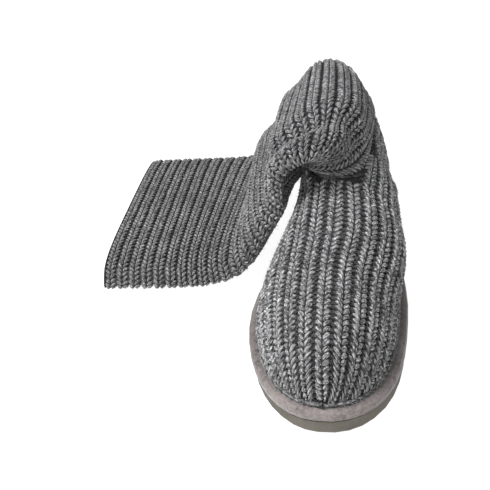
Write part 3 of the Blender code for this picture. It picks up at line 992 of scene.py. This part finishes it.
class Nodes:
    """Short calls for building a material's nodes."""

    def __init__(self, name):
        self.material = bpy.data.materials.new(name)
        self.material.use_nodes = True
        self.tree = self.material.node_tree
        self.shader = self.tree.nodes["Principled BSDF"]

    def add(self, kind, **values):
        """A new node of that kind."""
        node = self.tree.nodes.new(kind)
        for key, value in values.items():
            setattr(node, key, value)
        return node

    def set(self, node, name, value):
        """Links another node's output to an input, or gives it a value; a colour is opaque."""
        socket = node.inputs[name]
        if hasattr(value, "is_output"):
            self.tree.links.new(value, socket)
        elif socket.type == "RGBA":
            socket.default_value = (*value, 1)
        else:
            socket.default_value = value

    def noise(self, vector, scale, detail, roughness):
        """Soft noise, about 0.5 in the middle."""
        node = self.add("ShaderNodeTexNoise")
        self.set(node, "Vector", vector)
        self.set(node, "Scale", scale)
        self.set(node, "Detail", detail)
        self.set(node, "Roughness", roughness)
        return node.outputs["Fac"]

    def ramp(self, value, low, high, dark, light):
        """Eased change from dark where value is low to light where it is high."""
        node = self.add("ShaderNodeMapRange")
        node.interpolation_type = "SMOOTHSTEP"
        self.set(node, "Value", value)
        self.set(node, "From Min", low)
        self.set(node, "From Max", high)
        self.set(node, "To Min", dark)
        self.set(node, "To Max", light)
        return node.outputs["Result"]

    def mix(self, factor, first, second):
        """Colour between first and second."""
        node = self.add("ShaderNodeMix", data_type="RGBA")
        self.set(node, MIX_FACTOR, factor)
        self.set(node, MIX_FIRST, first)
        self.set(node, MIX_SECOND, second)
        return node.outputs[MIX_COLOUR]

    def math(self, operation, first, second=0.0):
        """One operation on one or two numbers."""
        node = self.add("ShaderNodeMath", operation=operation)
        self.set(node, 0, first)
        self.set(node, 1, second)
        return node.outputs[0]

    def product(self, *factors):
        """All the factors multiplied."""
        total = factors[0]
        for factor in factors[1:]:
            total = self.math("MULTIPLY", total, factor)
        return total

    def attribute(self, name):
        """A mesh attribute's vector."""
        return self.add("ShaderNodeAttribute", attribute_name=name).outputs["Vector"]

    def position(self):
        """The place in the object's own metres."""
        return self.add("ShaderNodeTexCoord").outputs["Object"]

    def split(self, vector):
        """The vector's three numbers."""
        node = self.add("ShaderNodeSeparateXYZ")
        self.set(node, "Vector", vector)
        return node.outputs

    def scaled(self, vector, x, y, z):
        """The vector, stretched along each of its axes."""
        node = self.add("ShaderNodeVectorMath", operation="MULTIPLY")
        self.set(node, 0, vector)
        self.set(node, 1, (x, y, z))
        return node.outputs[0]

    def shaded(self, colour, tone):
        """The colour times a number."""
        node = self.add("ShaderNodeVectorMath", operation="SCALE")
        self.set(node, 0, colour)
        self.set(node, "Scale", tone)
        return node.outputs[0]

    def bump(self, height, strength, distance):
        """Fine relief on the shader's normal."""
        node = self.add("ShaderNodeBump")
        self.set(node, "Height", height)
        self.set(node, "Strength", strength)
        self.set(node, "Distance", distance)
        self.set(self.shader, "Normal", node.outputs["Normal"])


def yarn_material(name, brightness, contrast=1.0):
    """Marled wool: dark and light strands twisted together, with painted shade on the deep side of each leg
    and at both its ends, where the legs of the stitches meet.
    """
    n = Nodes(name)
    yarn = n.attribute("yarn")
    along, turn, _ = n.split(yarn)
    strands = n.noise(n.scaled(yarn, 0.20, 5.0, 3.1), scale=1.0, detail=1.0, roughness=0.5)
    flecks = n.noise(n.scaled(yarn, 0.60, 12.0, 7.7), scale=1.0, detail=2.0, roughness=0.5)
    each = n.noise(n.scaled(yarn, 0.0, 0.0, 5.3), scale=1.0, detail=0.0, roughness=0.5)
    cloud = n.noise(n.position(), scale=45.0, detail=3.0, roughness=0.6)
    light = n.ramp(strands, 0.42, 0.56, 0.5 - 0.5 * contrast, 0.5 + 0.5 * contrast)
    colour = n.mix(light, YARN_DARK, YARN_MIDDLE)
    bright = n.ramp(flecks, 0.50, 0.62, 0.0, contrast)
    colour = n.mix(bright, colour, YARN_LIGHT)
    # Painted shade: each leg darker on its deep side than on its crown, and darker at its root and at its
    # tip, where it tucks under the next stitch
    deep = n.math("COSINE", n.product(turn, 2 * math.pi))
    underside_shade = n.ramp(n.product(deep, -1.0), -0.75, 0.75, 0.12, 1.1)
    root = n.ramp(along, 0.0, 0.25 * LEG_MM, 0.72, 1.0)
    tip = n.ramp(along, 0.80 * LEG_MM, LEG_MM, 1.0, 0.5)
    twist = n.math("ADD", n.product(turn, 2 * math.pi * PLIES), n.product(along, PLY_TURN))
    ply = n.ramp(n.math("COSINE", twist), -1.0, -0.1, 0.62, 1.08)
    leg_tone = n.ramp(each, 0.32, 0.68, 0.88, 1.18)
    cloud_tone = n.ramp(cloud, 0.3, 0.7, 0.84 * brightness, 1.16 * brightness)
    tone = n.product(underside_shade, root, tip, ply, leg_tone, cloud_tone)
    n.set(n.shader, "Base Color", n.shaded(colour, tone))
    n.set(n.shader, "Roughness", 0.9)
    n.set(n.shader, "Sheen Weight", 0.2)
    n.set(n.shader, "Sheen Roughness", 0.4)
    n.set(n.shader, "Specular IOR Level", 0.15)
    n.bump(strands, strength=0.8, distance=0.0006)
    return n.material


def ground_material(name, dark, light):
    """Purl side of the knit: small bars in recessed wool; the colours given for the valleys are the yarn
    darkened with painted shade.
    """
    n = Nodes(name)
    yarn = n.attribute("yarn")
    bars = n.noise(n.scaled(yarn, 0.8, 0.25, 1.0), scale=1.0, detail=2.0, roughness=0.6)
    flecks = n.noise(n.position(), scale=900.0, detail=2.0, roughness=0.6)
    tone = n.ramp(bars, 0.35, 0.65, 0.0, 1.0)
    colour = n.mix(tone, dark, light)
    colour = n.mix(n.ramp(flecks, 0.4, 0.7, 0.0, 0.2), colour, YARN_MIDDLE)
    n.set(n.shader, "Base Color", colour)
    n.set(n.shader, "Roughness", 1.0)
    n.set(n.shader, "Specular IOR Level", 0.1)
    n.bump(bars, strength=0.9, distance=0.0012)
    return n.material


def suede_material():
    """Taupe suede with a nap of light and dark strokes, and creases darkened with painted shade; painted
    light on the toe's tip and painted shade on the rest of the wrap.
    """
    n = Nodes("suede_wrap")
    place = n.position()
    nap = n.noise(n.scaled(place, 1.0, 1.0, 2.2), scale=420.0, detail=4.0, roughness=0.7)
    strokes = n.noise(place, scale=55.0, detail=3.0, roughness=0.6)
    creases = n.noise(n.scaled(place, 1.0, 1.0, 0.35), scale=210.0, detail=2.0, roughness=0.55)
    colour = n.mix(n.ramp(strokes, 0.35, 0.65, 0.0, 1.0), *SUEDE_COLOURS)
    colour = n.mix(n.ramp(nap, 0.35, 0.7, 0.0, 0.55), colour, SUEDE_NAP)
    # Painted shade in the creases, which the bump sinks
    colour = n.mix(n.ramp(creases, 0.62, 0.74, 0.0, 0.5), colour, SUEDE_CREASE_SHADE)
    # Painted light and shade: lighter at the toe's tip, darker behind it
    _, back, _ = n.split(place)
    toe = n.ramp(back, *SUEDE_PAINTED_LIGHT_Y, *SUEDE_PAINTED_LIGHT_AND_SHADE)
    n.set(n.shader, "Base Color", n.shaded(colour, toe))
    n.set(n.shader, "Roughness", 0.95)
    n.set(n.shader, "Sheen Weight", 0.3)
    n.set(n.shader, "Specular IOR Level", 0.1)
    height = n.math("ADD", n.product(nap, 0.5), n.product(creases, -0.8))
    n.bump(height, strength=0.5, distance=0.0008)
    return n.material


def foam_material():
    """Grey-brown foam outsole with a fine cellular speckle, darkened with painted shade in the pores that
    the bump sinks.
    """
    n = Nodes("outsole_foam")
    place = n.position()
    cells = n.add("ShaderNodeTexVoronoi")
    n.set(cells, "Vector", place)
    n.set(cells, "Scale", 1400.0)
    speckle = cells.outputs["Distance"]
    clouds = n.noise(place, scale=40.0, detail=4.0, roughness=0.6)
    colour = n.mix(n.ramp(clouds, 0.3, 0.7, 0.0, 1.0), *FOAM_COLOURS)
    # Painted shade in the pores, which the bump sinks
    colour = n.mix(n.ramp(speckle, 0.1, 0.5, 0.45, 0.0), colour, FOAM_PORE_SHADE)
    n.set(n.shader, "Base Color", colour)
    n.set(n.shader, "Roughness", 0.85)
    n.set(n.shader, "Specular IOR Level", 0.25)
    n.bump(speckle, strength=0.35, distance=0.0004)
    return n.material


def fleece_material():
    """Cream sheepskin: clumped curls of wool."""
    n = Nodes("sheepskin")
    place = n.position()
    curls = n.noise(place, scale=260.0, detail=5.0, roughness=0.75)
    clumps = n.noise(place, scale=70.0, detail=2.0, roughness=0.5)
    colour = n.mix(n.ramp(curls, 0.3, 0.7, 0.0, 1.0), *FLEECE_COLOURS)
    colour = n.mix(n.ramp(clumps, 0.4, 0.7, 0.0, 0.35), colour, FLEECE_DEEP)
    n.set(n.shader, "Base Color", colour)
    n.set(n.shader, "Roughness", 1.0)
    n.set(n.shader, "Sheen Weight", 0.5)
    n.bump(curls, strength=1.0, distance=0.004)
    return n.material


def hair_material():
    """Loose wool fibres."""
    n = Nodes("knit_fuzz")
    tone = n.noise(n.position(), scale=300.0, detail=1.0, roughness=0.5)
    colour = n.mix(n.ramp(tone, 0.35, 0.65, 0.0, 1.0), *HAIR_COLOURS)
    n.set(n.shader, "Base Color", colour)
    n.set(n.shader, "Roughness", 0.8)
    return n.material


# Building

foot = FootGrid()
shaft = ShaftGrid()
wool = yarn_material("knit_yarn", brightness=1.02)
leg_wool = yarn_material("knit_yarn_shaft", brightness=0.92, contrast=0.76)
# The purl bars are the same yarn darkened to about a fifth: painted shade for their place deep in the
# valleys
shaded_bar_wool = yarn_material("knit_yarn_bars_shaded", brightness=0.22)
# Purl valleys: their colours carry painted shade
purl = ground_material("knit_purl_shaded", *PURL_SHADED_COLOURS)
lining = ground_material("knit_lining", *LINING_COLOURS)
knit = build_foot_knit(foot, wool) + build_shaft_knit(shaft, leg_wool)
knit += build_bars(foot, shaded_bar_wool)
# The sewn edge yarn is the same yarn made darker: painted shade where the knit meets the platform
knit += build_edge(yarn_material("knit_yarn_edge_shaded", brightness=0.6))
knit += build_fuzz(knit, hair_material())
knit += [build_foot_ground(foot, purl), build_shaft_ground(shaft, purl), build_lining(lining)]
for piece in knit:
    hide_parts("upper")

nodes["platform"].material_slots[0].material = suede_material()
nodes["outsole"].material_slots[0].material = foam_material()
nodes["insole"].material_slots[0].material = fleece_material()


# Surroundings: white ground, soft light from above and the left

def area_light(name, place, aim, size, power):
    """A square light that points at its aim."""
    data = bpy.data.lights.new(name, "AREA")
    data.energy = power
    data.size = size
    light = bpy.data.objects.new(name, data)
    scene.collection.objects.link(light)
    light.location = place
    light.rotation_mode = "QUATERNION"
    light.rotation_quaternion = (Vector(aim) - Vector(place)).to_track_quat("-Z", "Y")


def build_surroundings():
    """World light, two lights and the floor, which glows so that it shows white."""
    world = bpy.data.worlds.new("world")
    world.use_nodes = True
    background = world.node_tree.nodes["Background"]
    background.inputs["Color"].default_value = (*WHITE, 1)
    background.inputs["Strength"].default_value = WORLD_STRENGTH
    scene.world = world
    area_light("key", *KEY_LIGHT)
    area_light("fill", *FILL_LIGHT)
    mesh = bpy.data.meshes.new("floor")
    size = FLOOR_HALF_SIZE
    corners = [(-size, -size, 0), (size, -size, 0), (size, size, 0), (-size, size, 0)]
    mesh.from_pydata(corners, [], [(0, 1, 2, 3)])
    floor = bpy.data.objects.new("floor", mesh)
    scene.collection.objects.link(floor)
    n = Nodes("floor_white")
    n.set(n.shader, "Base Color", FLOOR_COLOUR)
    n.set(n.shader, "Emission Color", WHITE)
    n.set(n.shader, "Emission Strength", FLOOR_GLOW)
    n.set(n.shader, "Roughness", 1.0)
    n.set(n.shader, "Specular IOR Level", 0.0)
    mesh.materials.append(n.material)


build_surroundings()
scene.view_settings.view_transform = "Standard"
